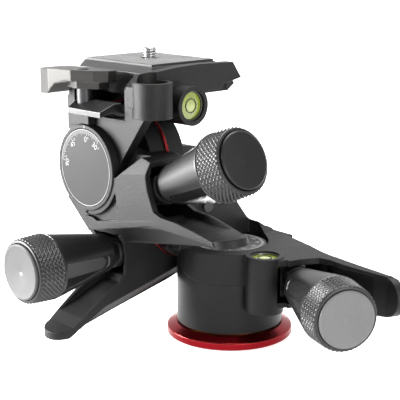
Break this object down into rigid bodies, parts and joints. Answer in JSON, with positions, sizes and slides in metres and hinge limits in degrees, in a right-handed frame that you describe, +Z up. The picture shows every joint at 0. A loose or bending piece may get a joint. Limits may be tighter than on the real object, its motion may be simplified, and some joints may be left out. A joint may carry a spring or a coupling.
{
  "type": "geared tripod head",
  "caption": "Three-way geared tripod head with worm-driven pan, lateral and front tilt, squeeze arms, dials, levels and a quick-release plate.",
  "frame": {"origin": "centre of the base's bottom face, on the pan axis and on the axis of the tripod thread", "axes": "+Z up along the pan axis; -Y towards the face with the front dial; the camera looks along +Y at rest"},
  "size_m": [0.168, 0.1342, 0.1341],
  "materials": {
    "housing": "fine grained satin",
    "knob": "satin",
    "knob_cap": "satin",
    "dark_cap": "satin",
    "dial": "satin with printed scale",
    "red_anodised": "anodised",
    "steel": "turned",
    "brass": "machined",
    "collar": "satin black",
    "vial": "clear over lime fluid",
    "pad": "ribbed",
    "plate": "satin",
    "lever": "satin",
    "carrier": "machined"
  },
  "bodies": {
    "base": {"base_ring": "red_anodised", "base_plate": "steel", "mount_bush": "brass", "thrust_washer": "brass", "pan_axle": "steel", "pan_worm_wheel": "brass", "pan_dial": "dial"},
    "pan_body": {"pan_housing": "housing", "pan_skirt": "housing", "pan_vial": "vial", "pan_hinge_pin": "steel", "pan_spring": "steel", "lateral_axle": "steel", "lateral_worm_wheel": "brass", "lateral_dial": "dial", "neck_screw": "steel", "neck_bush": "brass"},
    "pan_release": {"pan_worm_carrier": "carrier", "pan_collar": "collar"},
    "pan_knob": {"pan_worm": "steel", "pan_knob_grip": "knob", "pan_knob_cap": "knob_cap"},
    "tilt_body": {"tilt_housing": "housing", "front_cover": "housing", "lateral_cover": "housing", "lateral_ring": "red_anodised", "front_ring": "red_anodised", "lateral_hinge_pin": "steel", "lateral_spring": "steel", "front_hinge_pin": "steel", "front_spring": "steel", "front_dial": "dial"},
    "lateral_release": {"lateral_worm_carrier": "carrier", "lateral_collar": "collar"},
    "lateral_knob": {"lateral_worm": "steel", "lateral_knob_grip": "knob", "lateral_knob_cap": "knob_cap"},
    "front_release": {"front_worm_carrier": "carrier", "front_collar": "collar"},
    "front_knob": {"front_worm": "steel", "front_knob_grip": "knob", "front_knob_cap": "dark_cap"},
    "platform_body": {"platform": "housing", "front_axle": "steel", "front_worm_wheel": "brass", "side_vial": "vial", "top_vial": "vial", "camera_plate": "plate", "plate_pad": "pad", "lever_pin": "steel", "catch_pin": "steel"},
    "lever": {"release_lever": "lever"},
    "catch": {"safety_catch": "plate"},
    "screw": {"camera_screw": "steel"}
  },
  "joints": [
    {"name": "pan_turn", "type": "hinge", "parent": "base", "child": "pan_body", "pos_m": [0, 0, 0.0324], "axis": [0, 0, 1], "continuous": true},
    {"name": "pan_arm_squeeze", "type": "hinge", "parent": "pan_body", "child": "pan_release", "pos_m": [-0.00478, 0.02358, 0.0324], "axis": [0, 0, 1], "range_deg": [0, 7], "stiffness_Nm_per_rad": 2, "springref_deg": -3.44},
    {"name": "pan_knob_turn", "type": "hinge", "parent": "pan_release", "child": "pan_knob", "pos_m": [0.0083, 0.01732, 0.0324], "axis": [0.9018, -0.4321, 0], "continuous": true},
    {"name": "lateral_tilt", "type": "hinge", "parent": "pan_body", "child": "tilt_body", "pos_m": [-0.029, -0.0105, 0.0623], "axis": [1, 0, 0], "range_deg": [-90, 20]},
    {"name": "lateral_arm_squeeze", "type": "hinge", "parent": "tilt_body", "child": "lateral_release", "pos_m": [-0.029, 0.004, 0.0431], "axis": [1, 0, 0], "range_deg": [0, 7], "stiffness_Nm_per_rad": 2, "springref_deg": -3.44},
    {"name": "lateral_knob_turn", "type": "hinge", "parent": "lateral_release", "child": "lateral_knob", "pos_m": [-0.029, -0.0105, 0.0431], "axis": [0, -1, 0], "range_deg": [-3240, 720]},
    {"name": "front_tilt", "type": "hinge", "parent": "tilt_body", "child": "platform_body", "pos_m": [-0.0394, -0.0429, 0.0815], "axis": [0, 1, 0], "range_deg": [-90, 15]},
    {"name": "front_arm_squeeze", "type": "hinge", "parent": "tilt_body", "child": "front_release", "pos_m": [-0.04583, -0.0429, 0.05832], "axis": [0, 1, 0], "range_deg": [0, 7], "stiffness_Nm_per_rad": 2, "springref_deg": -3.44},
    {"name": "front_knob_turn", "type": "hinge", "parent": "front_release", "child": "front_knob", "pos_m": [-0.03235, -0.0429, 0.06364], "axis": [0.9301, 0, 0.3673], "range_deg": [-540, 3240]},
    {"name": "lever_turn", "type": "hinge", "parent": "platform_body", "child": "lever", "pos_m": [-0.0448, -0.05, 0.1178], "axis": [0, 0, 1], "range_deg": [0, 24]},
    {"name": "catch_press", "type": "hinge", "parent": "platform_body", "child": "catch", "pos_m": [-0.04, -0.045, 0.1084], "axis": [1, 0, 0], "range_deg": [0, 5], "stiffness_Nm_per_rad": 0.2, "springref_deg": -5.73},
    {"name": "screw_turn", "type": "hinge", "parent": "platform_body", "child": "screw", "pos_m": [-0.04, -0.01465, 0.124], "axis": [0, 0, 1], "continuous": true}
  ],
  "couplings": [
    {"joint": "pan_knob_turn", "follows": "pan_turn", "ratio": -36},
    {"joint": "lateral_knob_turn", "follows": "lateral_tilt", "ratio": 36},
    {"joint": "front_knob_turn", "follows": "front_tilt", "ratio": -36}
  ]
}
